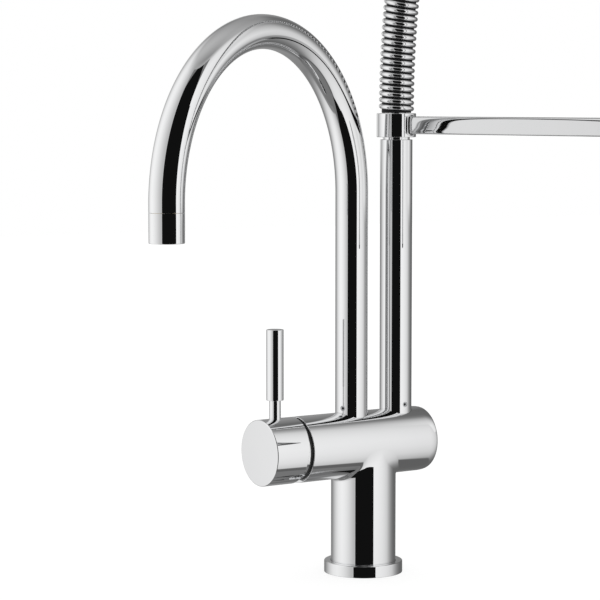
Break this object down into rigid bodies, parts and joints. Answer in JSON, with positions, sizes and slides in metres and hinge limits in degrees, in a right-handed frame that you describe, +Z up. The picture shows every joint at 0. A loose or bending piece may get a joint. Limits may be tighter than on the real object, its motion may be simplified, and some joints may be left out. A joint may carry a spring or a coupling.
{
  "type": "pull down kitchen faucet",
  "caption": "Chrome kitchen faucet with side lever, gooseneck spout and a separate pull-down spray on a spring-wrapped hose held by a swivel arm.",
  "frame": {"origin": "on the deck surface, at the column's axis", "axes": "+Z up along the column; X along the barrel, with the lever at -X; -Y towards the user"},
  "size_m": [0.3255, 0.2801, 0.6265],
  "materials": {
    "chrome": "polished chrome plate on brass",
    "steel": "machined stainless steel",
    "spring_steel": "polished spring wire",
    "brass": "machined brass",
    "rubber_black": "matte seal rubber",
    "hose_rubber": "smooth hose cover",
    "cartridge_plastic": "moulded plastic",
    "dark_plastic": "fine-grained moulded plastic",
    "aerator_plastic": "moulded plastic",
    "disc_ceramic": "lapped ceramic"
  },
  "bodies": {
    "faucet_body": {"body_casting": "chrome", "base_flange": "chrome", "deck_gaskets": "rubber_black", "clamp_plate": "steel", "mounting_studs": "steel", "stud_nuts": "steel", "end_plug": "chrome", "diverter_sleeve": "brass", "diverter_spring": "steel", "riser_nipple": "brass", "riser_tube": "chrome", "riser_grub_screw": "steel", "body_orings": "rubber_black", "cartridge_base": "cartridge_plastic", "port_seals": "rubber_black", "fixed_disc": "disc_ceramic", "cartridge_housing": "cartridge_plastic", "cartridge_nut": "brass", "bonnet_ring": "chrome", "spout_glide_ring": "cartridge_plastic", "spout_retaining_screw": "steel", "riser_head": "chrome", "collar_nut": "brass"},
    "diverter": {"diverter_piston": "brass"},
    "temp_rotor": {"rotor": "cartridge_plastic", "pivot_pin": "steel"},
    "handle": {"spindle": "steel", "handle_cap": "chrome", "lever_stem": "chrome", "lever_grip": "chrome"},
    "disc": {"moving_disc": "disc_ceramic", "disc_carrier": "cartridge_plastic"},
    "spout": {"spout_tube": "chrome", "spout_journal": "brass", "spout_orings": "rubber_black", "spout_grub_screw": "steel", "outlet_adapter": "brass", "aerator_shell": "chrome", "aerator_insert": "aerator_plastic", "aerator_screen": "steel", "aerator_seal": "rubber_black"},
    "arm": {"arm_collar": "chrome", "collar_bush": "cartridge_plastic", "arm_bar": "chrome", "dock_saddle": "chrome", "dock_liner": "dark_plastic", "dock_screws": "steel", "hose_tail": "brass", "support_spring": "spring_steel", "spray_hose": "hose_rubber"},
    "spray": {"spray_coupling": "chrome", "spray_handle": "chrome", "spray_valve_body": "brass", "valve_spring": "steel", "trigger_pin": "steel", "spray_nozzle_plate": "dark_plastic", "spray_face_ring": "dark_plastic"},
    "valve": {"valve_stem": "steel"},
    "trigger": {"spray_trigger": "dark_plastic"}
  },
  "joints": [
    {"name": "handle_turn", "type": "hinge", "parent": "faucet_body", "child": "temp_rotor", "pos_m": [-0.057, 0, 0.0963], "axis": [1, 0, 0], "range_deg": [-45, 45]},
    {"name": "handle_lift", "type": "hinge", "parent": "temp_rotor", "child": "handle", "pos_m": [-0.057, 0, 0.0963], "axis": [0, -1, 0], "range_deg": [0, 16]},
    {"name": "disc_slide", "type": "slide", "parent": "temp_rotor", "child": "disc", "axis": [0, 0, 1], "range_m": [0, 0.0034]},
    {"name": "spout_swivel", "type": "hinge", "parent": "faucet_body", "child": "spout", "pos_m": [-0.0111, 0, 0.12], "axis": [0, 0, 1], "range_deg": [-70, 55]},
    {"name": "arm_swivel", "type": "hinge", "parent": "faucet_body", "child": "arm", "pos_m": [0.0296, 0, 0.33], "axis": [0, 0, 1], "range_deg": [-15, 110]},
    {"name": "spray_pull", "type": "slide", "parent": "arm", "child": "spray", "axis": [0, 0, -1], "range_m": [0, 0.1], "stiffness_N_per_m": 80, "springref_m": -0.1, "deforming": ["support_spring", "spray_hose"]},
    {"name": "trigger_press", "type": "hinge", "parent": "spray", "child": "trigger", "pos_m": [0.07498, -0.24485, 0.33], "axis": [0.9833, 0.1822, 0], "range_deg": [0, 4], "stiffness_Nm_per_rad": 2, "springref_deg": -5.73},
    {"name": "valve_slide", "type": "slide", "parent": "spray", "child": "valve", "axis": [-0.1822, 0.9833, 0], "range_m": [0, 0.0032], "deforming": ["valve_spring"]},
    {"name": "diverter_slide", "type": "slide", "parent": "faucet_body", "child": "diverter", "axis": [1, 0, 0], "range_m": [0, 0.0041], "deforming": ["diverter_spring"]}
  ],
  "couplings": [
    {"joint": "disc_slide", "follows": "handle_lift", "m_per_rad": 0.012},
    {"joint": "valve_slide", "follows": "trigger_press", "m_per_rad": 0.045},
    {"joint": "diverter_slide", "follows": "trigger_press", "m_per_rad": 0.0573}
  ]
}
